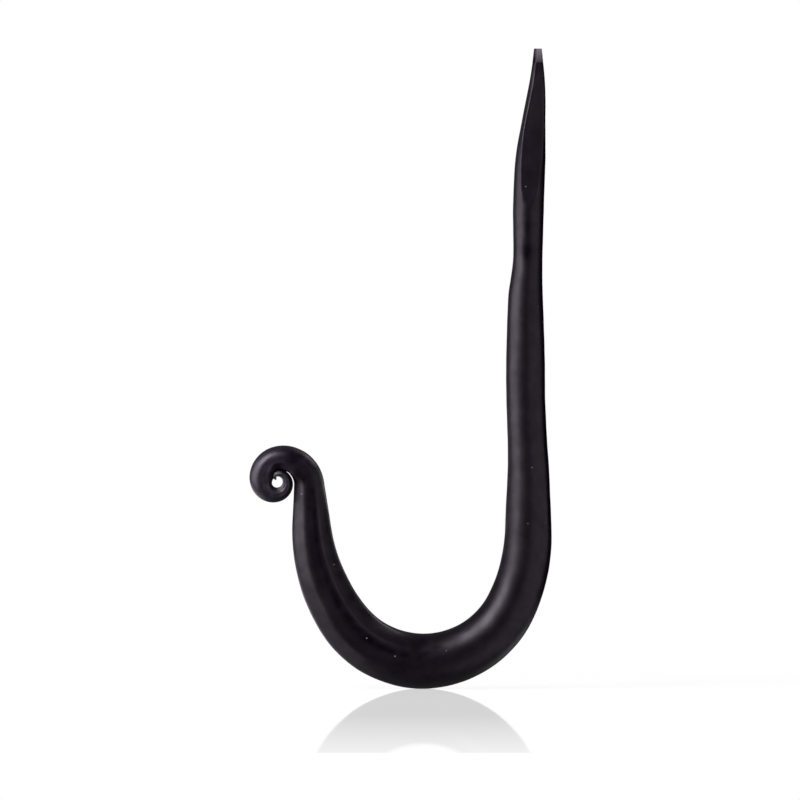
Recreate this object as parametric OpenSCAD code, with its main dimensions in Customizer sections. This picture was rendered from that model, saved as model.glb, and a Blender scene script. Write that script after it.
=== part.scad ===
// Hand-forged J hook, drawn out of one round bar.
//
// The hook lies in the XZ plane and is even on both sides of it. The origin
// is on the bar's axis at the shoulder, where the driven spike ends. The
// spike points up, the shank runs straight down, the bend and the arm reach
// towards -X, and the arm ends in a scroll that is rolled outwards.
//
// Widths are measured in the plane of the hook, thicknesses along Y.

/* [Spike] */
// Length of the spike, from the shoulder up to its tip
spike_len = 46.1; // [40:0.1:80]
// Length of the long taper at the end of the spike
taper_len = 22.8; // [15:0.1:26]
// Length of the short wedge at the very end
wedge_len = 2.8; // [1:0.1:5]
// Width of the blunt end
tip_w = 1.7; // [0.8:0.1:2.2]
// Thickness of the blunt end
tip_t = 0.6; // [0.4:0.1:1.6]
// Width of the spike where the wedge begins
wedge_w = 2.4; // [2:0.1:4]
// Thickness between the hammered side faces where the wedge begins
wedge_t = 2.8; // [1.8:0.1:4]
// Width of the spike where the taper begins
taper_w = 6.4; // [4.5:0.1:9]
// Greatest width of the spike, between its taper and the shoulder
belly_w = 6.8; // [5.5:0.1:10]
// Length of the hammered side faces, from the tip to where they have run out
face_len = 35; // [30:0.1:39]
// Length over which the side faces run out into the round
run_len = 4; // [2:0.1:6]
// Thickness between the side faces where they begin to run out
run_t = 5.8; // [4.5:0.1:6.5]
// How far the side faces lean towards the back at the tip, in degrees
face_lean = 18; // [0:1:24]
// Width of the rounded edges beside the hammered faces
edge_w = 0.6; // [0.4:0.05:1.1]
// How far the tip is set back from the bar's axis
tip_set = 2.1; // [0:0.05:3]
// How far the bar is set back where the taper begins
taper_set = 0.55; // [0:0.05:1.5]

/* [Shank] */
// Width of the bar at the shoulder
shoulder_w = 6.4; // [5:0.1:10]
// Thickness of the bar at the shoulder
shoulder_t = 6.9; // [5:0.1:10]
// Length over which the bar swells below the shoulder
swell_len = 9.4; // [5:0.1:15]
// Width of the bar below that swelling
neck_w = 7.7; // [6:0.1:11]
// Length of the shank, from the shoulder down to the bend
shank_len = 59.8; // [45:0.1:120]
// Width of the bar halfway down the shank
shank_w = 8.6; // [7:0.05:12]
// Width of the bar where the bend begins
heel_w = 10.25; // [8:0.05:14]
// How far the upper shank bows forward of the bar's axis
bow = 0.65; // [0:0.05:1.5]

/* [Bend] */
// Clear gap between the shank and the arm
gap = 38.3; // [30:0.1:60]
// Diameter of the bar at the bottom of the bend, where it was not drawn out
bar_d = 12.1; // [10:0.1:16]
// Radius of the bar's axis where the shank turns into the bend
back_r = 38.6; // [30:0.1:60]
// Angle of that easy curve
back_turn = 25.8; // [15:0.1:35]
// Width of the bar at the end of that curve
back_w = 11.2; // [9:0.1:14]
// Radius of the bar's axis where the bend turns into the arm
front_r = 40.1; // [30:0.1:60]
// Angle of that easy curve
front_turn = 30.9; // [20:0.1:40]
// Width of the bar at the start of that curve
front_w = 11.3; // [9:0.1:14]

/* [Arm] */
// Width of the bar where the arm begins
arm_w = 8.5; // [6.5:0.1:11]
// Thickness of the bar where the arm begins
arm_t = 8.4; // [6.5:0.1:11]
// Straight length of the arm, from the bend to the scroll
arm_len = 9.15; // [5:0.05:30]
// How far the arm leans outwards from upright, in degrees
arm_lean = 3.4; // [0:0.1:10]
// How crisp the arm's eight hammered faces are, from round to a true octagon
facet = 0.85; // [0:0.05:1]

/* [Scroll] */
// Radius of the scroll at its start, from the middle of its eye to its outside
scroll_r = 10.5; // [9:0.1:16]
// Angle through which the scroll is rolled
scroll_turn = 502; // [430:1:560]
// Diameter of the round eye in the middle
eye_d = 2.5; // [2:0.1:4]
// Thickness of the bar where the scroll begins
scroll_t = 7; // [5:0.1:10]
// How crisp the faces still are where the scroll begins
scroll_facet = 0.6; // [0:0.05:1]
// How far the scroll's faces lean towards its eye, in degrees
scroll_lean = 15; // [0:1:20]
// Width of the rolled end
end_w = 1; // [0.4:0.05:1.2]
// Thickness of the rolled end
end_t = 3.8; // [1:0.1:5]
// How far the rolled end curls into the eye
end_curl = 0.5; // [0:0.05:0.8]
// Gap between the arm and the turn inside it
arm_gap = 0.25; // [0.2:0.05:0.8]
// Gap further round, where the turns all but touch
turn_gap = 0.1; // [0.1:0.05:0.4]

/* [Hidden] */

IRON = "#2b292e";

// Points around the bar: four for each of the eight faces
RING = 32;
HALF_RING = RING / 2;
// Number of points from either edge of the bar to a ridge beside its side face
RIDGE_POINT = 6;
FACE_TURN = 45;
RIDGE_TURN = FACE_TURN * 1.5;
QUARTER_TURN = 90;
HALF_TURN = 180;
FULL_TURN = 360;

// Rings of points along each stretch of the bar
WEDGE_RINGS = 4;
TAPER_RINGS = 12;
FACE_RINGS = 12;
SHOULDER_RINGS = 8;
SHANK_RINGS = 24;
BACK_RINGS = 7;
BEND_RINGS = 34;
FRONT_RINGS = 10;
ARM_RINGS = 6;
SCROLL_RINGS = 58;

// Share of the bow that the shoulder has
SHOULDER_BOW = 0.2;
// Shares of the shank's length between which it keeps its middle width
MIDDLE_FROM = 0.45;
MIDDLE_TO = 0.6;
// Share of the shank's length at which its bow has run out
BOW_TO = 0.8;

// Angles over which the scroll's end curls in, and is rounded off
CURL_TURN = 60;
ROUND_TURN = 20;
// Share of its width that the scroll's end loses in that rounding
ROUND_SHARE = 0.9;
// Angles between which the scroll's turns close up
OPEN_TURN = 50;
CLOSED_TURN = 68;
// Angle over which the scroll steps up from its eye onto its own inner turn
STEP_TURN = 45;
STEP_LAG = 6;
// Angles between which the scroll's faces come to lean
UPRIGHT_TURN = 100;
LEAN_TURN = 140;
// How much closer the scroll's rings are at its wide start: 1 is even
RING_EASE = 1.35;

// Distances along the bar, measured from the tip of the spike
run_s = face_len - run_len;
shoulder_s = spike_len;
bend_s = shoulder_s + shank_len;

// The bend is three arcs, and the middle one is as wide as the gap asks
span = gap + heel_w / 2 + arm_w / 2;
bottom_turn = HALF_TURN - arm_lean - back_turn - front_turn;
front_start = back_turn + bottom_turn;
front_end = front_start + front_turn;
back_reach = back_r * (1 - cos(back_turn));
front_reach = front_r * (cos(front_start) - cos(front_end));
bend_r = (span - back_reach - front_reach) / (cos(back_turn) - cos(front_start));

back_s = bend_s + arc_len(back_r, back_turn);
front_s = back_s + arc_len(bend_r, bottom_turn);
arm_s = front_s + arc_len(front_r, front_turn);
scroll_s = arm_s + arm_len;
bottom_s = back_s + arc_len(bend_r, QUARTER_TURN - back_turn);

// Centres of the three arcs, and the end of each
back_c = [-back_r, -shank_len];
bend_c = back_c + (back_r - bend_r) * ray(-back_turn);
front_c = bend_c + (bend_r - front_r) * ray(-front_start);
arm_start = front_c + front_r * ray(-front_end);
arm_heading = QUARTER_TURN + arm_lean;
scroll_start = arm_start + arm_len * ray(arm_heading);

// The outside of the scroll is a logarithmic spiral, down to its rolled end
end_r = eye_d / 2 + end_w;
shrink = pow(end_r / scroll_r, 1 / scroll_turn);
// The scroll is turned so that it carries on the way that the arm points
scroll_from = arm_heading - QUARTER_TURN - scroll_pitch(0);
scroll_c = scroll_start - scroll_mid(0) * ray(scroll_from);

// [distance along the bar, width]
WIDTHS = [
    [0, tip_w],
    [wedge_len, wedge_w],
    [taper_len, taper_w],
    [face_len, belly_w],
    [shoulder_s, shoulder_w],
    [shoulder_s + swell_len, neck_w],
    [shoulder_s + shank_len * MIDDLE_FROM, shank_w],
    [shoulder_s + shank_len * MIDDLE_TO, shank_w],
    [bend_s, heel_w],
    [back_s, back_w],
    [bottom_s, bar_d],
    [front_s, front_w],
    [arm_s, arm_w],
    [scroll_s, scroll_width(0)]
];

// [distance along the bar, thickness of the bar before the faces are hammered]
THICKNESSES = [
    [0, shoulder_t],
    [shoulder_s, shoulder_t],
    [shoulder_s + swell_len, neck_w],
    [shoulder_s + shank_len * MIDDLE_FROM, shank_w],
    [shoulder_s + shank_len * MIDDLE_TO, shank_w],
    [bend_s, heel_w],
    [bottom_s, bar_d],
    [front_s, front_w],
    [arm_s, arm_t],
    [scroll_s, scroll_t]
];

// [distance along the bar, how far its middle is set back from its axis]
SETS = [
    [0, tip_set],
    [wedge_len, tip_set],
    [taper_len, taper_set],
    [face_len, 0],
    [shoulder_s, -bow * SHOULDER_BOW],
    [shoulder_s + swell_len, -bow],
    [shoulder_s + shank_len * MIDDLE_FROM, -bow],
    [shoulder_s + shank_len * BOW_TO, 0],
    [bend_s, 0]
];

// [distance along the bar, how crisp the eight faces are]
FACETS = [
    [0, 0],
    [bottom_s, 0],
    [front_s, facet],
    [arm_s, facet],
    [scroll_s, scroll_facet]
];

function ray(turn) = [cos(turn), sin(turn)];
function arc_len(r, turn) = r * turn * PI / HALF_TURN;
function mix(a, b, share) = a + (b - a) * share;
function ease(share) = let (x = min(1, max(0, share))) x * x * (3 - 2 * x);

// Slope of a curve through the stations, at one of them: flat at a peak
function slope(stations, i) =
    let (
        last = len(stations) - 1,
        before = stations[max(0, i - 1)],
        here = stations[i],
        after = stations[min(last, i + 1)],
        inner = i > 0 && i < last,
        peak = inner && (here[1] - before[1]) * (after[1] - here[1]) <= 0
    )
    peak ? 0 : (after[1] - before[1]) / (after[0] - before[0]);

// Value at a distance along the bar, on a smooth curve through the stations
function along(stations, s) =
    let (
        last = len(stations) - 1,
        i = min(last - 1, max([0, for (k = [0 : last]) if (stations[k][0] <= s) k])),
        from = stations[i],
        to = stations[i + 1],
        run = to[0] - from[0],
        x = min(1, max(0, (s - from[0]) / run)),
        pull = slope(stations, i) * run * x * (1 - x) * (1 - x),
        push = slope(stations, i + 1) * run * x * x * (1 - x)
    )
    mix(from[1], to[1], ease(x)) + pull - push;

// Thickness between the two hammered faces of the spike
function face_t(s) =
    s < wedge_len
        ? mix(tip_t, wedge_t, s / wedge_len)
        : s < run_s
            ? mix(wedge_t, run_t, (s - wedge_len) / (run_s - wedge_len))
            : mix(run_t, shoulder_t, (s - run_s) / run_len);

// Thickness of an oval bar, w wide, that has rounded edges of edge_w once its
// sides are hammered down to the thickness t
function edge_t(w, t) =
    let (half = w / 2, face = max(0, half - edge_w)) t / sqrt(1 - pow(face / half, 2));

// How far an angle is into the last stretch of the scroll, from 0 to 1
function end_share(turn, stretch) = min(1, max(0, 1 - (scroll_turn - turn) / stretch));
function curl(turn) = end_curl * pow(end_share(turn, CURL_TURN), 2);

// Outside, inside and middle radius of the scroll at an angle from its start.
// Its first stretch lies over the turn inside it, and the rest around the eye.
function scroll_out(turn) = scroll_r * pow(shrink, turn) - curl(turn);
function scroll_in(turn) =
    let (
        rolled = scroll_turn - FULL_TURN - STEP_LAG,
        closed = ease((turn - OPEN_TURN) / (CLOSED_TURN - OPEN_TURN)),
        gap_here = mix(arm_gap, turn_gap, closed),
        step = ease((turn - rolled) / STEP_TURN)
    )
    mix(scroll_out(turn + FULL_TURN) + gap_here, eye_d / 2 - curl(turn), step);
function scroll_mid(turn) = (scroll_out(turn) + scroll_in(turn)) / 2;

// Angle by which the scroll's middle line cuts inwards across a circle
function scroll_pitch(turn) =
    let (d = 1) atan((scroll_mid(turn - d) - scroll_mid(turn)) / arc_len(scroll_mid(turn), d));

// Width and thickness of the bar in the scroll, rounded off at its end
function end_round(turn) = sqrt(1 - pow(ROUND_SHARE * end_share(turn, ROUND_TURN), 2));
function scroll_width(turn) =
    (scroll_out(turn) - scroll_in(turn)) * cos(scroll_pitch(turn)) * end_round(turn);
function scroll_thick(turn) =
    mix(scroll_t, end_t, turn / scroll_turn) * end_round(turn);

// Angle of a point in half a ring, with a point on each of the two ridges
function half_turn(point, ridges) =
    point <= RIDGE_POINT
        ? ridges[0] * point / RIDGE_POINT
        : point < HALF_RING - RIDGE_POINT
            ? mix(ridges[0], ridges[1], (point - RIDGE_POINT) / (HALF_RING - 2 * RIDGE_POINT))
            : mix(HALF_TURN, ridges[1], (HALF_RING - point) / RIDGE_POINT);

// How much a face stands out from the round at an angle, towards its ridges
function face_lift(turn) = 1 / cos((turn + FACE_TURN / 2) % FACE_TURN - FACE_TURN / 2) - 1;

// Angles of the two ridges of a face that cuts an oval at the height h and
// leans towards its first point
function cut_ridges(a, b, h, lean) =
    let (
        reach = norm([a * sin(lean), b * cos(lean)]),
        middle = atan2(b * cos(lean), a * sin(lean)),
        half = acos(min(1, h / reach))
    )
    [
        min(RIDGE_TURN, atan2(b * sin(middle - half), a * cos(middle - half))),
        max(HALF_TURN - RIDGE_TURN, atan2(b * sin(middle + half), a * cos(middle + half)))
    ];

// Outline of the bar: an oval, faceted by crisp and cut to the thickness flat,
// with faces that lean towards its first point
function outline(w, t, flat, crisp, lean) =
    let (
        a = w / 2,
        b = t / 2,
        h = flat / 2,
        ridges = cut_ridges(a, b, h, lean)
    )
    [
        for (i = [0 : RING - 1])
            let (
                side = i <= HALF_RING ? 1 : -1,
                even = half_turn(i <= HALF_RING ? i : RING - i, ridges),
                turn = h < b ? even : even - lean * sin(even),
                oval = a * b / norm([b * cos(turn), a * sin(turn)]),
                faced = oval * (1 + crisp * face_lift(even)),
                cut = h / max(sin(turn + lean), 0.001),
                at = min(faced, cut) * ray(turn)
            )
            [at[0], side * at[1]]
    ];

// One ring of points: an outline set across the bar at a place and a heading
function ring(place, heading, outline_points) =
    [
        for (p = outline_points)
            let (at = place + p[0] * ray(heading + QUARTER_TURN)) [at[0], p[1], at[1]]
    ];

// Outline of the bar at a distance along it, down to the scroll
function bar_outline(s) =
    let (
        w = along(WIDTHS, s),
        round_t = along(THICKNESSES, s),
        flat = s < face_len ? face_t(s) : 2 * round_t,
        t = s < face_len ? min(round_t, edge_t(w, flat)) : round_t
    )
    outline(w, t, flat, along(FACETS, s), face_lean * max(0, 1 - s / face_len));

function straight_ring(s) = ring([along(SETS, s), spike_len - s], -QUARTER_TURN, bar_outline(s));
function bend_ring(centre, r, turn, s) =
    ring(centre + r * ray(-turn), -QUARTER_TURN - turn, bar_outline(s));
function arm_ring(x) = ring(arm_start + x * ray(arm_heading), arm_heading, bar_outline(arm_s + x));
function scroll_ring(turn) =
    let (
        at = scroll_from + turn,
        w = scroll_width(turn),
        t = scroll_thick(turn),
        crisp = scroll_facet * (1 - turn / scroll_turn / 2),
        lean = scroll_lean * ease((turn - UPRIGHT_TURN) / (LEAN_TURN - UPRIGHT_TURN))
    )
    ring(
        scroll_c + scroll_mid(turn) * ray(at),
        at + QUARTER_TURN + scroll_pitch(turn),
        outline(w, t, 2 * t, crisp, lean)
    );

// Distances from one place to the next, without the last
function steps(from, to, count) = [for (i = [0 : count - 1]) mix(from, to, i / count)];

straight_places = concat(
    steps(0, wedge_len, WEDGE_RINGS),
    steps(wedge_len, taper_len, TAPER_RINGS),
    steps(taper_len, face_len, FACE_RINGS),
    steps(face_len, shoulder_s, SHOULDER_RINGS),
    steps(shoulder_s, bend_s, SHANK_RINGS)
);

hook_rings = concat(
    [for (s = straight_places) straight_ring(s)],
    [
        for (turn = steps(0, back_turn, BACK_RINGS))
            bend_ring(back_c, back_r, turn, bend_s + arc_len(back_r, turn))
    ],
    [
        for (turn = steps(back_turn, front_start, BEND_RINGS))
            bend_ring(bend_c, bend_r, turn, back_s + arc_len(bend_r, turn - back_turn))
    ],
    [
        for (turn = steps(front_start, front_end, FRONT_RINGS))
            bend_ring(front_c, front_r, turn, front_s + arc_len(front_r, turn - front_start))
    ],
    [for (x = steps(0, arm_len, ARM_RINGS)) arm_ring(x)],
    [
        for (i = [0 : SCROLL_RINGS])
            scroll_ring(scroll_turn * pow(i / SCROLL_RINGS, RING_EASE))
    ]
);

// A skin over rings of points, closed by a flat cap at each end
module skin(rings) {
    last = len(rings) - 1;
    walls = [
        for (k = [0 : last - 1], i = [0 : RING - 1])
            let (next = (i + 1) % RING)
            [k * RING + i, k * RING + next, (k + 1) * RING + next, (k + 1) * RING + i]
    ];
    first_cap = [for (i = [RING - 1 : -1 : 0]) i];
    last_cap = [for (i = [0 : RING - 1]) last * RING + i];
    polyhedron(
        points = [for (r = rings, p = r) p],
        faces = concat([first_cap], walls, [last_cap]),
        convexity = 10
    );
}

// The whole hook: spike, shank, bend, arm and scroll are one forged bar
module hook() {
    color(IRON) skin(hook_rings);
}

hook();
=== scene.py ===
"""The look of a hand-forged J hook: one iron bar, drawn out, bent and rolled, under black lacquer."""

import math

import bmesh
import bpy
import numpy as np
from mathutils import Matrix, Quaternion, Vector, noise


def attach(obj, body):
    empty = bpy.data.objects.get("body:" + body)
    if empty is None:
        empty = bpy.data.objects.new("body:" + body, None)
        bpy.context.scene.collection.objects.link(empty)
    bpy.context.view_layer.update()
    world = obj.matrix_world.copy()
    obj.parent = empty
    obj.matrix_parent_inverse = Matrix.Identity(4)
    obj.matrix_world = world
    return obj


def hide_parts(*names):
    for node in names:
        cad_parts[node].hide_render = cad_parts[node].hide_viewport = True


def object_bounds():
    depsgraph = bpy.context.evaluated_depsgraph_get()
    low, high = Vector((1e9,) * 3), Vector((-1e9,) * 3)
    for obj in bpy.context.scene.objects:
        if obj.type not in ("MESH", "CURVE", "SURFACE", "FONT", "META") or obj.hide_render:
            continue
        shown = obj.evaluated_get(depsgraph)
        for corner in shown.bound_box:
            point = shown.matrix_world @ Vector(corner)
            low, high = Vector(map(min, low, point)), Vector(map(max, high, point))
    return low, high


MM = 0.001
FULL_TURN = 360

# ---- The bar ----------------------------------------------------------------

# The CAD bar has this many points in each ring, and the finer bar this many for each of them
RING = 32
FINER = 4
# Spare points at each side of an opened ring, which let a curve run on across its first point
SPARE = 3
# Points closer than this are one point, and heights closer than this are one height
SAME_POINT = 0.001 * MM
SAME_HEIGHT = 0.01 * MM
# How far a seed moves the random pattern, so that no two are alike
SEED_STEP = (7.3, 3.1, 5.7)

# Places along the bar are shares of its length, from the tip of the spike to the end of the scroll.
# Here is how far its ridges are worn, in degrees of arc: on the outside of the arm, and elsewhere.
WEAR_PLACES = (0, 0.15, 0.72, 0.78, 0.84, 0.89)
OUTSIDE_WEAR = (2, 2, 4, 9, 9, 3)
OTHER_WEAR = (2, 2, 4, 4, 4, 14)

# The hammer's waves, coarse and fine: how deep and how long they are
COARSE_WAVES = (0.08 * MM, 9 * MM)
FINE_WAVES = (0.03 * MM, 3.5 * MM)
# The end of the spike, over which the waves fade out
CALM_TIP = 3 * MM
DENT_DEPTH = 0.14 * MM
HOLLOW_DEPTH = 0.08 * MM

# Stretches of the bar: where each begins and ends, and how slowly it comes and goes
FLAT_SIDES = (0.87, 0.96, 0.02, 0.02)
# The eye's edge is the stretch where painted shade darkens the inner edge of the scroll's widest turn
EYE_EDGE = (0.9, 0.967, 0.015, 0.01)
# Where the scroll's painted lightening begins, and the painted highlight on the ring around its eye, and how
# slowly each comes
LIGHTENED_SCROLL = (0.875, 0.03)
EYE_HIGHLIGHT = (0.962, 0.01)
# How far round the bar, from the middle of its eye side, these reach, in degrees, and how softly they end
EYE_EDGE_REACH = 77
EYE_HIGHLIGHT_REACH = 86
REACH_FADE = 10
# How square the scroll's sides are where they are flat: 2 is round
SQUARENESS = 5

# The rolled end: how far it is swollen in the hook's plane, how far its beak reaches, and by what share it
# is thickened across the plane
SWELLING = 0.1 * MM
BEAK_REACH = 0.6 * MM
THICKENING = 0.4
# How much of the bar is left where each change begins, and over how long it comes in
BEAK_STRETCH = (0.8 * MM, 0.8 * MM)
EYE_SWELL_STRETCH = (2.4 * MM, 1.4 * MM)
TURN_SWELL_STRETCH = (3.2 * MM, 1.2 * MM)
THICK_STRETCH = (7 * MM, 4 * MM)
# The last stretch of the rolled end is painted pale steel, a painted highlight on the knob
PALE_END_STRETCH = (2.6 * MM, 2 * MM)

# Spots on the side that faces the camera: the middle and the reach of each, across and up
# The dent and the groove above it are darkened with painted shade
DENT = ((-0.2 * MM, 1.4 * MM), (1.0 * MM, 2.3 * MM))
OVER_DENT = ((-0.3 * MM, 7 * MM), (0.6 * MM, 3.4 * MM))
# Two darker patches on the top of the scroll, which also hold back its painted lightening
DARK_PATCH = ((-51.3 * MM, -43.8 * MM), (3.4 * MM, 2.4 * MM))
SECOND_PATCH = ((-49.6 * MM, -46.4 * MM), (2.6 * MM, 3.4 * MM))
# Painted shade at the bottom of the bend, which cuts short its highlight
BEND_BOTTOM = ((-24.5 * MM, -86.2 * MM), (5.5 * MM, 3.2 * MM))

# Lines along both sides of the arm: where each begins and ends, its angle from the outside of the arm,
# and its width, in degrees
HOLLOW = ((0.62, 0.88), 104, 5)
# A line of painted shade beside the arm's inner ridge, like a dark crease
CREASE_SHADE = ((0.62, 0.88), 101, 9)
# The arm's side face and inner bevel, darkened with painted shade
SIDE_FACE = ((0.75, 0.89), 88, 20)
INNER_FACE = ((0.70, 0.86), 141, 12)
# A painted highlight along the arm's inner ridge, where the shine is raised
BRIGHT_RIDGE = ((0.66, 0.86), 115, 4)
LINE_FADE = 0.03

# The share of its shine that the bar loses at each spot and along each line: painted shade in the dent, along
# the arm and at the bottom of the bend, and darker patches on the scroll
DULL_AND_SHADED_SPOTS = ((0.75, DENT), (0.6, OVER_DENT), (0.75, DARK_PATCH), (0.7, SECOND_PATCH), (0.55, BEND_BOTTOM))
DULL_AND_SHADED_LINES = ((0.75, CREASE_SHADE), (0.4, SIDE_FACE), (0.45, INNER_FACE))
# The share that it loses to the painted shade at the eye's edge, and what the painted highlight on the ridge
# gains
EYE_EDGE_SHADE = 0.8
RIDGE_HIGHLIGHT = 0.5
# How uneven its shine is: how much, over what length, and the seed. The first makes the marks patchy, up to
# a limit, and the others change the shine everywhere.
PATCHY = (0.6, 1.6 * MM, 3)
PATCHY_LIMIT = 1.3
UNEVEN = ((0.25, 3 * MM, 4), (0.15, 1.2 * MM, 5))

# How much of the scroll's painted lightening the dark patch holds back, and how strong the painted highlight
# on the ring around the eye is
PATCH_KEEPS = 0.9
EYE_HIGHLIGHT_STRENGTH = 0.7

# The worn facet at the tip: how far down the painted shade at its edge reaches, how far back, and how softly
# it ends
FACET_DOWN = 3.4 * MM
FACET_BACK = 1.75 * MM
FACET_FADE = 0.3 * MM
# The band of painted shade below it, measured down from the tip as the stretches above are
BELOW_FACET = (2.9 * MM, 6.5 * MM, 0.4 * MM, 2.5 * MM)
# The share of its shine that the bar loses to painted shade at the facet's edge, and in the band below it
FACET_EDGE_SHADE = 0.8
BELOW_FACET_SHADE = 0.45


# ---- Small helpers ----------------------------------------------------------


def linear(colour):
    """Linear red, green, blue and alpha of an sRGB hex colour."""
    parts = [int(colour[i : i + 2], 16) / 255 for i in (1, 3, 5)]
    return [c / 12.92 if c <= 0.04045 else ((c + 0.055) / 1.055) ** 2.4 for c in parts] + [1.0]


def node(tree, kind, inputs=None, **settings):
    """Adds a node. The settings are its properties; inputs holds sockets to link, hex colours and values."""
    made = tree.nodes.new(kind)
    for name, value in settings.items():
        setattr(made, name, value)
    for name, value in (inputs or {}).items():
        if isinstance(value, bpy.types.NodeSocket):
            tree.links.new(value, made.inputs[name])
        else:
            made.inputs[name].default_value = linear(value) if isinstance(value, str) else value
    return made


def empty_tree(owner):
    """The node tree of a material or of the world, with nothing in it."""
    owner.use_nodes = True
    owner.node_tree.nodes.clear()
    return owner.node_tree


def added(name, data):
    """A new object in the scene that holds a mesh, a lamp or a camera."""
    made = bpy.data.objects.new(name, data)
    bpy.context.scene.collection.objects.link(made)
    return made


def ease(share):
    """A smooth step from 0 to 1."""
    x = np.clip(share, 0, 1)
    return x * x * (3 - 2 * x)


def within(value, start, end, rise, fall):
    """1 between a start and an end, with a smooth rise after the one and a smooth fall before the other."""
    return ease((value - start) / rise) * ease((end - value) / fall)


# ---- The CAD bar's rings ----------------------------------------------------


def layers(mesh):
    """The bar's points, ring by ring, from the spike's blunt end to the end of the scroll."""
    top = max(v.co.z for v in mesh.verts)
    found = [[v for v in mesh.verts if v.co.z > top - SAME_HEIGHT]]
    seen = set(found[0])
    while found[-1]:
        beside = {e.other_vert(v) for v in found[-1] for e in v.link_edges} - seen
        seen |= beside
        found.append(list(beside))
    return found[:-1]


def in_order(ring):
    """A ring's points in order, by their angle about its middle."""
    points = np.array([v.co[:] for v in ring])
    spokes = points - points.mean(axis=0)
    across, up = np.linalg.svd(spokes)[2][:2]
    return points[np.argsort(np.arctan2(spokes @ up, spokes @ across))]


def started(ring):
    """The first ring, turned to start at its point furthest along +X and to go round by +Y."""
    ring = np.roll(ring, -int(np.argmax(ring[:, 0])), axis=0)
    return ring if ring[RING // 4, 1] > 0 else np.roll(ring[::-1], 1, axis=0)


def matched(ring, before):
    """A ring turned, and reversed if need be, so that its points follow those of the ring before."""
    choices = [np.roll(way, shift, axis=0) for way in (ring, ring[::-1]) for shift in range(RING)]
    return min(choices, key=lambda points: ((points - before) ** 2).sum())


def cad_rings(cad):
    """The CAD bar as an array of points: ring, point around it, coordinate."""
    mesh = bmesh.new()
    mesh.from_mesh(cad.data)
    bmesh.ops.remove_doubles(mesh, verts=mesh.verts, dist=SAME_POINT)
    rings = []
    for ring in layers(mesh):
        points = in_order(ring)
        rings.append(matched(points, rings[-1]) if rings else started(points))
    mesh.free()
    return np.array(rings)


# ---- The finer bar ----------------------------------------------------------


def smooth_curve(points, places, new_places):
    """Points on a smooth curve through the given ones, along the array's first axis."""
    run = np.diff(places)
    shape = (-1,) + (1,) * (points.ndim - 1)
    rise = np.diff(points, axis=0) / run.reshape(shape)
    before = np.concatenate([rise[:1], rise])
    after = np.concatenate([rise, rise[-1:]])
    weight_before = np.concatenate([run[:1], run]).reshape(shape)
    weight_after = np.concatenate([run, run[-1:]]).reshape(shape)
    slope = (before * weight_after + after * weight_before) / (weight_before + weight_after)
    i = np.clip(np.searchsorted(places, new_places, side="right") - 1, 0, len(run) - 1)
    x = ((new_places - places[i]) / run[i]).reshape(shape)
    stretch = run[i].reshape(shape)
    return (
        (2 * x**3 - 3 * x**2 + 1) * points[i]
        + (x**3 - 2 * x**2 + x) * stretch * slope[i]
        + (3 * x**2 - 2 * x**3) * points[i + 1]
        + (x**3 - x**2) * stretch * slope[i + 1]
    )


def finer_rings(rings):
    """The bar with rings and points between the CAD's own, and the distance of each ring along it."""
    middles = rings.mean(axis=1)
    places = np.concatenate([[0], np.cumsum(np.linalg.norm(np.diff(middles, axis=0), axis=1))])
    steps = np.arange((len(rings) - 1) * FINER + 1) / FINER
    new_places = np.interp(steps, np.arange(len(rings)), places)
    longer = smooth_curve(rings, places, new_places)
    opened = np.concatenate([longer[:, -SPARE:], longer, longer[:, : SPARE + 1]], axis=1).swapaxes(0, 1)
    points = np.arange(RING * FINER) / FINER
    closed = smooth_curve(opened, np.arange(len(opened), dtype=float) - SPARE, points).swapaxes(0, 1)
    return closed, new_places


def outward(rings):
    """The outward direction at each point of the rings."""
    along = np.gradient(rings, axis=0)
    sideways = np.roll(rings, -1, axis=1) - np.roll(rings, 1, axis=1)
    normals = np.cross(sideways, along)
    normals /= np.linalg.norm(normals, axis=2, keepdims=True)
    spokes = rings - rings.mean(axis=1, keepdims=True)
    return normals if (normals * spokes).sum() > 0 else -normals


def wander(points, length, seed):
    """A smooth random value from about -1 to 1 at each point, which changes over the given length."""
    shift = Vector([seed * step for step in SEED_STEP])
    flat = points.reshape(-1, 3) / length
    values = [noise.noise(Vector(p) + shift) for p in flat]
    return np.array(values).reshape(points.shape[:-1])


# ---- Places on the bar ------------------------------------------------------


def angles(rings):
    """The angle of each of a ring's points from its first one, in degrees."""
    return np.arange(rings.shape[1]) * FULL_TURN / rings.shape[1]


def off_first(rings):
    """How far each of a ring's points lies from its first one, the shorter way round, in degrees.

    The rings' first points lie on the back of the spike and on the outside of the arm, and face the eye
    in the scroll.
    """
    return np.minimum(angles(rings), FULL_TURN - angles(rings))


def shares(places):
    """The share of the bar's length at which each ring lies, as a column beside the rings' points."""
    return (places / places[-1])[:, None]


def at_end(places, start, run):
    """0 along the bar, rising smoothly to 1 over a run that begins where only the start's length is left."""
    return ease((start - (places[-1] - places)) / run)


def spot(rings, middle, reach):
    """How near each point lies to the middle of a spot on the side that faces the camera, from 0 to 1."""
    away = np.hypot((rings[..., 0] - middle[0]) / reach[0], (rings[..., 2] - middle[1]) / reach[1])
    return np.exp(-(away**2)) * (rings[..., 1] < 0)


def line(rings, places, stretch, angle, width):
    """How near each point lies to a line along both sides of a stretch of the bar, from 0 to 1."""
    off = (off_first(rings) - angle) / width
    return within(shares(places), *stretch, LINE_FADE, LINE_FADE) * np.exp(-(off**2))


def eye_side(rings, reach):
    """1 for the points that face the scroll's eye, up to a reach in degrees, and 0 for the others."""
    return ease((reach - off_first(rings)) / REACH_FADE)


def eye_edge(rings, places):
    """How near each point lies to the inner edge of the scroll's widest turn, where painted shade darkens it,
    from 0 to 1.
    """
    return within(shares(places), *EYE_EDGE) * eye_side(rings, EYE_EDGE_REACH)


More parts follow.
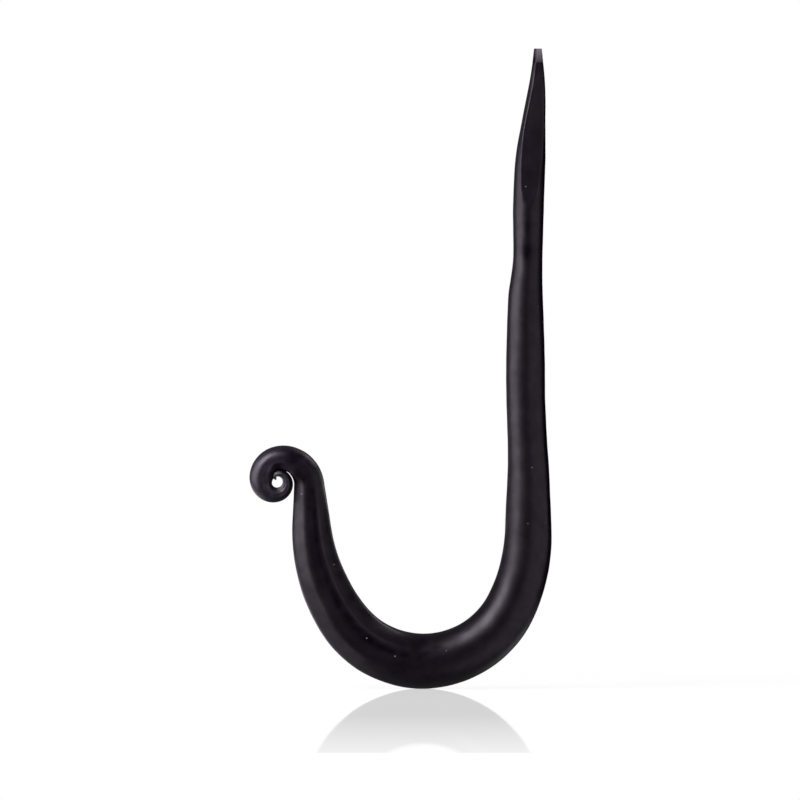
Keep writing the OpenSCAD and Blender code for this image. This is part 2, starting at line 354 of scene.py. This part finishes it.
def facet_edge(rings):
    """How much painted shade each point has at the edge of the worn facet at the tip, and in the band just
    below it.
    """
    down = rings[..., 2].max() - rings[..., 2]
    edge = ease((FACET_DOWN - down) / FACET_FADE) * ease((FACET_BACK - rings[..., 0]) / FACET_FADE)
    return np.maximum(FACET_EDGE_SHADE * edge, BELOW_FACET_SHADE * within(down, *BELOW_FACET))


def crossways(rings):
    """The direction across each ring in the hook's plane, towards its first point, and the ring's width."""
    across = rings[:, :1] - rings[:, rings.shape[1] // 2][:, None]
    width = np.linalg.norm(across, axis=2, keepdims=True)
    return across / width, width


# ---- The forged shape -------------------------------------------------------


def rounded(rings, places):
    """The bar with its ridges worn round, most on the outside of the arm and of the scroll.

    Each ring is taken apart into waves around it, and the finer waves are weakened.
    """
    waves = np.fft.fft(rings, axis=1)
    order = np.abs(np.fft.fftfreq(rings.shape[1], 1 / rings.shape[1]))

    def smoothed(tip_wear_and_highlight):
        degrees = np.interp(places / places[-1], WEAR_PLACES, tip_wear_and_highlight)
        kept = np.exp(-np.maximum(order**2 - 1, 0) * np.radians(degrees)[:, None] ** 2 / 2)
        return np.fft.ifft(waves * kept[:, :, None], axis=1).real

    outside = ease(0.5 + np.cos(np.radians(angles(rings))))[:, None]
    return outside * smoothed(OUTSIDE_WEAR) + (1 - outside) * smoothed(OTHER_WEAR)


def squared(rings, places):
    """The bar with the scroll's sides left flat up to the edge around its eye."""
    across, width = crossways(rings)
    spokes = rings - rings.mean(axis=1, keepdims=True)
    u = (spokes * across).sum(axis=2) / width[..., 0] * 2
    v = np.abs(spokes[..., 1]) / np.abs(spokes[..., 1]).max(axis=1, keepdims=True)
    reach = np.maximum(np.hypot(u, v), 1e-6)
    full = ((np.abs(u) / reach) ** SQUARENESS + (v / reach) ** SQUARENESS) ** (-1 / SQUARENESS)
    there = within(shares(places), *FLAT_SIDES) * ease(u * 2)
    return rings + spokes * (there * (full / reach - 1))[..., None]


def beaked(rings, places):
    """The bar with its rolled end swollen into the turn beside it, and drawn to a small beak in the eye."""
    across, width = crossways(rings)
    side = ((rings - rings.mean(axis=1, keepdims=True)) * across).sum(axis=2, keepdims=True) / width * 2
    ahead = rings[-1].mean(axis=0) - rings[-3].mean(axis=0)
    ahead /= np.linalg.norm(ahead)
    beak = BEAK_REACH * at_end(places, *BEAK_STRETCH)[:, None, None]
    eye_swell = SWELLING * at_end(places, *EYE_SWELL_STRETCH)[:, None, None]
    turn_swell = SWELLING * at_end(places, *TURN_SWELL_STRETCH)[:, None, None]
    to_eye = np.maximum(side, 0)
    to_turn = np.minimum(side, 0)
    moved = rings + (across * (to_eye * (eye_swell + beak) + to_turn * turn_swell) + ahead * to_eye * beak)
    moved[..., 1] *= 1 + THICKENING * at_end(places, *THICK_STRETCH)[:, None]
    return moved


def hammered(rings, places):
    """The bar with the shallow waves and marks that the hammer left."""
    lift = 0
    for seed, (depth, length) in enumerate((COARSE_WAVES, FINE_WAVES), 1):
        lift = lift + depth * wander(rings, length, seed)
    lift -= DENT_DEPTH * spot(rings, *DENT)
    lift -= HOLLOW_DEPTH * line(rings, places, *HOLLOW)
    # The tip's edges are too fine to carry the waves
    lift *= ease(places / CALM_TIP)[:, None]
    return rings + outward(rings) * lift[:, :, None]


# ---- Marks in the lacquer, painted shade and painted light ------------------


def shine_loss_and_painted_shade(rings, places):
    """The share of its shine that the bar has lost at each point: painted shade in its dent, creases, darker
    faces and at the eye's edge, less on a painted highlight along a ridge, and random unevenness.
    """
    marks = [much * line(rings, places, *where) for much, where in DULL_AND_SHADED_LINES]
    marks += [much * spot(rings, *where) for much, where in DULL_AND_SHADED_SPOTS]
    # Painted shade at the tip's facet edge and at the eye's edge
    marks += [facet_edge(rings), EYE_EDGE_SHADE * eye_edge(rings, places)]
    # The painted highlight on the ridge raises the shine there
    dullness_and_shade = np.maximum.reduce(marks) - RIDGE_HIGHLIGHT * line(rings, places, *BRIGHT_RIDGE)
    much, length, seed = PATCHY
    dullness_and_shade = dullness_and_shade * np.clip(1 + much * wander(rings, length, seed), 0, PATCHY_LIMIT)
    for much, length, seed in UNEVEN:
        dullness_and_shade = dullness_and_shade + much * wander(rings, length, seed)
    return dullness_and_shade


def painted_light(rings, places):
    """How much painted light each point has, up to 1, and on to 2 where it is painted pale steel.

    The whole scroll is painted lighter but for its dark patch and shaded eye edge, with a painted highlight
    round the eye and a pale painted end.
    """
    start, rise = LIGHTENED_SCROLL
    lightened = ease((shares(places) - start) / rise) * (1 - PATCH_KEEPS * spot(rings, *DARK_PATCH))
    start, rise = EYE_HIGHLIGHT
    # The ring around the eye gets a painted highlight
    ring_highlight = EYE_HIGHLIGHT_STRENGTH * ease((shares(places) - start) / rise) * eye_side(rings, EYE_HIGHLIGHT_REACH)
    # The very end is painted pale steel, a painted highlight on the knob
    return lightened * (1 - eye_edge(rings, places)) + ring_highlight + at_end(places, *PALE_END_STRETCH)[:, None]


# ---- The mesh ---------------------------------------------------------------


def skin(name, rings):
    """A closed mesh over rings of points, with a flat fan of faces at each end."""
    count, size = rings.shape[:2]
    points = np.concatenate([rings.reshape(-1, 3), rings[:1].mean(axis=1), rings[-1:].mean(axis=1)])
    faces = [
        (k * size + i, (k + 1) * size + i, (k + 1) * size + (i + 1) % size, k * size + (i + 1) % size)
        for k in range(count - 1)
        for i in range(size)
    ]
    walls = len(faces)
    first_middle, last_middle = count * size, count * size + 1
    last_ring = (count - 1) * size
    faces += [(first_middle, i, (i + 1) % size) for i in range(size)]
    faces += [(last_middle, last_ring + (i + 1) % size, last_ring + i) for i in range(size)]
    mesh = bpy.data.meshes.new(name)
    mesh.from_pydata(points.tolist(), [], faces)
    mesh.polygons.foreach_set("use_smooth", [k < walls for k in range(len(faces))])
    turned = bmesh.new()
    turned.from_mesh(mesh)
    bmesh.ops.recalc_face_normals(turned, faces=turned.faces)
    turned.to_mesh(mesh)
    turned.free()
    return added(name, mesh)


def painted(piece, name, values):
    """Stores a value for each point of the rings, and a mean one for the middle of each end.

    The material reads them by their name.
    """
    marks = piece.data.attributes.new(name, "FLOAT", "POINT")
    ends = [values[0].mean(), values[-1].mean()]
    marks.data.foreach_set("value", np.concatenate([values.ravel(), ends]))


# ---- Materials --------------------------------------------------------------

# The inputs of a Map Range node, in the order in which the tables below give them
RANGE = ("Value", "From Min", "From Max", "To Min", "To Max")
# The places of a colour Mix node's two inputs, and of its result
FIRST = 6
SECOND = 7
MIXED = 2

BARE_STEEL_AND_HIGHLIGHT = "#8b868d"
DUST = "#a29ca6"
# Dust lies about this far apart
DUST_SPACING = 4.3 * MM


def lacquered_iron(tip):
    """Black lacquer over forged iron: near-black, faintly violet, with a soft satin gloss.

    The tip is the height of the spike's blunt end, whose worn facet is painted pale steel, partly as a
    painted highlight.
    """
    material = bpy.data.materials.new("lacquered_forged_iron")
    tree = empty_tree(material)
    place = node(tree, "ShaderNodeTexCoord").outputs["Object"]
    where = node(tree, "ShaderNodeSeparateXYZ", {"Vector": place}).outputs
    lightened = node(tree, "ShaderNodeAttribute", attribute_name="painted_light").outputs["Fac"]
    dullness_and_shade = node(tree, "ShaderNodeAttribute", attribute_name="shine_loss_and_painted_shade").outputs["Fac"]
    specks = node(tree, "ShaderNodeTexVoronoi", {"Vector": place, "Scale": 1 / DUST_SPACING})

    # The size of each mottle, and how rough its finest part is
    sizes = {
        # The lacquer lies thicker in some places, so its black wanders over a few millimetres
        "pooled": (4 * MM, 0.5),
        # A lighter grey, mixed in unevenly, is painted light on the scroll
        "lighter_mottle": (2 * MM, 0.5),
        "satin": (2.5 * MM, 0.5),
        # The lacquer's real grain is finer, and is drawn as coarse as it needs to show
        "grain": (0.5 * MM, 0.6),
    }
    mottles = {}
    for name, (size, rough) in sizes.items():
        inputs = {"Vector": place, "Scale": 1 / size, "Detail": 3.0, "Roughness": rough}
        mottles[name] = node(tree, "ShaderNodeTexNoise", inputs).outputs["Fac"]

    # Each value with the two numbers between which it is read, and what it is turned to at each of them
    limits = {
        "pooled": (mottles["pooled"], 0.3, 0.7, 0.0, 1.0),
        "lighter_mottle": (mottles["lighter_mottle"], 0.35, 0.65, 0.0, 1.0),
        "pale_end": (lightened, 1.0, 2.0, 0.0, 1.0),
        # The worn facet at the back of the tip is painted pale steel, partly a painted highlight, most at the
        # very end
        "tip_wear_and_highlight": (where["Z"], tip - 3.0 * MM, tip - 0.5 * MM, 0.25, 1.0),
        "facet": (where["Z"], tip - 3.2 * MM, tip - 2.9 * MM, 0.0, 1.0),
        "back": (where["X"], 1.7 * MM, 2.0 * MM, 0.0, 1.0),
        "speck": (specks.outputs["Distance"], 0.015, 0.05, 1.0, 0.0),
        # The painted shade and random dull marks take the lacquer's shine, and a painted sheen on the
        # lightened scroll brings some back
        "kept_shine": (dullness_and_shade, -0.5, 1.0, 0.75, 0.0),
        "painted_sheen": (lightened, 0.0, 1.0, 0.0, 0.2),
        "roughness": (mottles["satin"], 0.0, 1.0, 0.36, 0.44),
    }
    spans = {
        name: node(tree, "ShaderNodeMapRange", dict(zip(RANGE, values))).outputs["Result"]
        for name, values in limits.items()
    }

    pale_tip = spans["tip_wear_and_highlight"]
    for share in (spans["facet"], spans["back"]):
        pale_tip = node(tree, "ShaderNodeMath", {0: pale_tip, 1: share}, operation="MULTIPLY").outputs[0]
    shines = {0: spans["kept_shine"], 1: spans["painted_sheen"]}
    shine = node(tree, "ShaderNodeMath", shines, operation="ADD").outputs[0]

    black = {"Factor": spans["pooled"], FIRST: "#070309", SECOND: "#150b19"}
    colour = node(tree, "ShaderNodeMix", black, data_type="RGBA").outputs[MIXED]
    # A lighter grey, painted over the scroll as painted light
    painted_light_grey = {"Factor": spans["lighter_mottle"], FIRST: "#1a141d", SECOND: "#2d2534"}
    painted_light_grey = node(tree, "ShaderNodeMix", painted_light_grey, data_type="RGBA").outputs[MIXED]
    # Each colour covers the one before by its share: the painted lighter grey, the scroll's end and the tip's
    # facet painted pale steel as painted highlights, and dust
    covers = ((lightened, painted_light_grey), (spans["pale_end"], BARE_STEEL_AND_HIGHLIGHT), (pale_tip, BARE_STEEL_AND_HIGHLIGHT), (spans["speck"], DUST))
    for share, over in covers:
        inputs = {"Factor": share, FIRST: colour, SECOND: over}
        colour = node(tree, "ShaderNodeMix", inputs, data_type="RGBA").outputs[MIXED]

    grain = {"Height": mottles["grain"], "Strength": 1.0, "Distance": 0.004 * MM}
    grain = node(tree, "ShaderNodeBump", grain).outputs["Normal"]
    # The specks of dust stand up a little
    nibs = {"Height": spans["speck"], "Strength": 1.0, "Distance": 0.1 * MM, "Normal": grain}
    nibs = node(tree, "ShaderNodeBump", nibs).outputs["Normal"]
    finish = {
        "Base Color": colour,
        "Metallic": 0.0,
        "Roughness": spans["roughness"],
        "IOR": 1.5,
        "Specular IOR Level": shine,
        "Specular Tint": "#faeeff",
        "Normal": nibs,
    }
    shader = node(tree, "ShaderNodeBsdfPrincipled", finish).outputs["BSDF"]
    node(tree, "ShaderNodeOutputMaterial", {"Surface": shader})
    return material


def black_felt():
    """Black felt: it swallows the light and has no shine.

    The floor's mirror image leaves it out, as the camera does.
    """
    material = bpy.data.materials.new("black_felt")
    tree = empty_tree(material)
    felt = node(tree, "ShaderNodeBsdfPrincipled", {"Base Color": "#000000", "Specular IOR Level": 0.0})
    mirrored = node(tree, "ShaderNodeLightPath").outputs["Is Singular Ray"]
    clear = node(tree, "ShaderNodeBsdfTransparent").outputs["BSDF"]
    shown = node(tree, "ShaderNodeMixShader", {"Fac": mirrored, 1: felt.outputs["BSDF"], 2: clear})
    node(tree, "ShaderNodeOutputMaterial", {"Surface": shown.outputs["Shader"]})
    return material


# The lamps show on the sheet, and its polish is full, up to the first of these distances from the hook.
# From the second on, the lamps don't show and the polish is at its least.
LIT_NEAR, LIT_FAR = 50 * MM, 200 * MM
POLISH_NEAR, POLISH_FAR = 125 * MM, 270 * MM
# The polished sheet ends in a straight front edge
SHEET_FRONT = -272.5 * MM


def pale_acrylic():
    """Polished pale acrylic: white, with the hook's soft shadow and a faint mirror image of it."""
    material = bpy.data.materials.new("pale_acrylic_floor")
    tree = empty_tree(material)
    place = node(tree, "ShaderNodeTexCoord").outputs["Object"]
    away = node(tree, "ShaderNodeVectorMath", {0: place}, operation="LENGTH").outputs["Value"]
    # Each distance with the two between which it is read, and what it is turned to at each of them
    limits = {
        "held_back": (away, LIT_NEAR, LIT_FAR, 0.1, 0.0),
        "lit": (away, LIT_NEAR, LIT_FAR, 0.14, 0.0),
        "polish": (away, POLISH_NEAR, POLISH_FAR, 0.455, 0.165),
    }
    spans = {
        name: node(tree, "ShaderNodeMapRange", dict(zip(RANGE, values))).outputs["Result"]
        for name, values in limits.items()
    }

    # What the lamps add near the hook is left out of the sheet's own white, so that shadows show
    own = node(tree, "ShaderNodeMath", {0: 1.0, 1: spans["held_back"]}, operation="SUBTRACT").outputs[0]
    glow = node(tree, "ShaderNodeEmission", {"Color": "#ffffff", "Strength": own}).outputs[0]
    lit = node(tree, "ShaderNodeBsdfDiffuse", {"Color": spans["lit"]}).outputs[0]
    sheet = node(tree, "ShaderNodeAddShader", {0: glow, 1: lit}).outputs[0]

    # The polish has a slight ripple, and mirrors more the flatter it is seen
    ripple = {"Vector": place, "Scale": 1 / (0.4 * MM), "Detail": 1.0}
    ripple = node(tree, "ShaderNodeTexNoise", ripple).outputs["Fac"]
    uneven = {"Height": ripple, "Strength": 1.0, "Distance": 0.0008 * MM}
    uneven = node(tree, "ShaderNodeBump", uneven).outputs["Normal"]
    mirror = {"Color": "#ffffff", "Roughness": 0.0, "Normal": uneven}
    mirror = node(tree, "ShaderNodeBsdfGlossy", mirror).outputs[0]
    fresnel = node(tree, "ShaderNodeFresnel", {"IOR": 1.45}).outputs["Fac"]
    polish = node(tree, "ShaderNodeMath", {0: fresnel, 1: spans["polish"]}, operation="MULTIPLY").outputs[0]
    front = node(tree, "ShaderNodeSeparateXYZ", {"Vector": place}).outputs["Y"]
    inside = node(tree, "ShaderNodeMath", {0: front, 1: SHEET_FRONT}, operation="GREATER_THAN").outputs[0]
    gloss = node(tree, "ShaderNodeMath", {0: polish, 1: inside}, operation="MULTIPLY").outputs[0]
    polished = node(tree, "ShaderNodeMixShader", {"Fac": gloss, 1: sheet, 2: mirror}).outputs[0]

    # Only the camera sees all this, and other rays meet a plain grey
    camera_ray = node(tree, "ShaderNodeLightPath").outputs["Is Camera Ray"]
    plain_grey = node(tree, "ShaderNodeBsdfDiffuse", {"Color": "#555555"}).outputs[0]
    seen = node(tree, "ShaderNodeMixShader", {"Fac": camera_ray, 1: plain_grey, 2: polished}).outputs[0]
    node(tree, "ShaderNodeOutputMaterial", {"Surface": seen})
    return material


# ---- The studio -------------------------------------------------------------

FLOOR_HALF = 4.0
# The strength of the world's faint even light
FILL = 0.026
# How much of the white behind the hook shows in its lacquer
BEHIND = 0.08

CAMERA_DISTANCE = 1.5
VIEW_WIDTH = 176 * MM
# How far the camera stands beside and below the middle of the hook
CAMERA_SHIFT = (-0.15 * MM, -6.9 * MM)


def studio_world():
    """White to the camera and in the floor's mirror, and a faint even light everywhere else."""
    world = bpy.data.worlds.new("studio")
    bpy.context.scene.world = world
    tree = empty_tree(world)
    rays = node(tree, "ShaderNodeLightPath").outputs
    direction = node(tree, "ShaderNodeTexCoord").outputs["Generated"]
    back = node(tree, "ShaderNodeSeparateXYZ", {"Vector": direction}).outputs["Y"]
    # Lacquer that turns away from the camera mirrors a little of the white behind the hook
    behind = node(tree, "ShaderNodeMapRange", dict(zip(RANGE, (back, 0.5, 0.8, 0.0, BEHIND))))
    glossy = {0: rays["Is Glossy Ray"], 1: behind.outputs["Result"]}
    shine = node(tree, "ShaderNodeMath", glossy, operation="MULTIPLY")
    direct = {0: rays["Is Camera Ray"], 1: rays["Is Singular Ray"]}
    seen = node(tree, "ShaderNodeMath", direct, operation="MAXIMUM")
    white = node(tree, "ShaderNodeMath", {0: seen.outputs[0], 1: shine.outputs[0]}, operation="MAXIMUM")
    level = node(tree, "ShaderNodeMapRange", {"Value": white.outputs[0], "To Min": FILL, "To Max": 1.0})
    background = node(tree, "ShaderNodeBackground", {"Color": "#ffffff", "Strength": level.outputs["Result"]})
    node(tree, "ShaderNodeOutputWorld", {"Surface": background.outputs[0]})


def card(name, corners, material):
    """A flat card with four corners."""
    mesh = bpy.data.meshes.new(name)
    mesh.from_pydata(corners, [], [(0, 1, 2, 3)])
    mesh.materials.append(material)
    return added(name, mesh)


def floor(foot):
    """A wide sheet under the hook, which adds nothing to the light on it."""
    corners = [(x * FLOOR_HALF, y * FLOOR_HALF, 0) for x, y in ((-1, -1), (1, -1), (1, 1), (-1, 1))]
    made = card("floor", corners, pale_acrylic())
    made.location = foot
    made.visible_glossy = False
    made.visible_diffuse = False
    made.visible_shadow = False


def flag(x, ys, zs):
    """A black card that keeps the rim lamps off the back of the shank."""
    corners = [(x, ys[0], zs[0]), (x, ys[1], zs[0]), (x, ys[1], zs[1]), (x, ys[0], zs[1])]
    made = card("flag", corners, black_felt())
    made.visible_camera = False


def soft_box(
    name, aim, azimuth, elevation, size, glow, distance=0.5, roll=0, shape="RECTANGLE", colour="#ffffff"
):
    """A flat lamp that faces the hook. Azimuth 0 is behind the camera and 90 is at +X.

    Angles are in degrees and lengths in metres, and the glow is watts for each quarter of a square metre.
    """
    a, e = math.radians(azimuth), math.radians(elevation)
    away = Vector((math.sin(a) * math.cos(e), -math.cos(a) * math.cos(e), math.sin(e)))
    lamp = bpy.data.lights.new(name, "AREA")
    lamp.shape = shape
    lamp.color = linear(colour)[:3]
    lamp.size, lamp.size_y = size
    lamp.energy = glow * 4 * size[0] * size[1]
    made = added(name, lamp)
    made.location = aim + away * distance
    made.rotation_mode = "QUATERNION"
    made.rotation_quaternion = away.to_track_quat("Z", "Y") @ Quaternion((0, 0, 1), math.radians(roll))


def lamps(aim):
    """Soft boxes on every side of the hook, all turned towards its middle."""
    soft_box("key_high", aim, -50, 36, (0.36, 0.34), 3.9, distance=0.45, shape="ELLIPSE")
    soft_box("key_low", aim, -76, 4, (0.46, 0.36), 1.8, distance=0.45, roll=-15)
    soft_box("low_left", aim, -100, -40, (0.5, 0.4), 0.42)
    soft_box("low_right", aim, 57, -16, (0.8, 0.76), 0.41, roll=18, colour="#fff5ff")
    soft_box("floor_bounce", aim, 0, -80, (1.0, 1.0), 0.07)
    soft_box("top_right", aim, 40, 38, (0.1, 0.28), 0.6)
    # These stand behind the hook and draw its bright edges
    soft_box("rim_arm", aim, 120, 4, (0.34, 0.16), 1.7)
    soft_box("rim_high", aim, 125, 43, (0.27, 0.26), 2.1)
    soft_box("rim_low_left", aim, -143, -24, (0.22, 0.25), 1.1)
    soft_box("rim_low_right", aim, 132, -38, (0.2, 0.2), 0.5)


def camera(middle):
    """A long lens, level with the hook and square to its plane."""
    data = bpy.data.cameras.new("camera")
    data.lens = data.sensor_width * CAMERA_DISTANCE / VIEW_WIDTH
    made = added("camera", data)
    beside, below = CAMERA_SHIFT
    made.location = middle + Vector((beside, -CAMERA_DISTANCE, below))
    made.rotation_euler = (math.radians(90), 0, 0)
    bpy.context.scene.camera = made


# ---- The scene --------------------------------------------------------------

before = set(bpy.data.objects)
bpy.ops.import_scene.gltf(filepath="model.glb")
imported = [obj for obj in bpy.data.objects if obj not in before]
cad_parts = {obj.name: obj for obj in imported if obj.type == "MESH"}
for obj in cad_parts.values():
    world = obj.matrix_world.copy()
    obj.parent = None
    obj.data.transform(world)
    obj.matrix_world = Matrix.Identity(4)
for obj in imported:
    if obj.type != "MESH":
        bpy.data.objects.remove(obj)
cad_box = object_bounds()
low, high = cad_box
middle = (low + high) / 2

camera(middle)
studio_world()
floor(Vector((middle.x, middle.y, low.z)))
lamps(middle)
flag(12 * MM, (-0.4 * MM, 25 * MM), (low.z + 15 * MM, high.z))

rings, places = finer_rings(cad_rings(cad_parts["hook"]))
shaped = beaked(squared(rounded(rings, places), places), places)
bar = skin("forged_bar", hammered(shaped, places))
# These marks hold painted shade and painted light, which the material reads by name
painted(bar, "shine_loss_and_painted_shade", shine_loss_and_painted_shade(shaped, places))
painted(bar, "painted_light", painted_light(shaped, places))
bar.data.materials.append(lacquered_iron(high.z))
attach(bar, "root")
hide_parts("hook")

bpy.context.scene.view_settings.view_transform = "Standard"
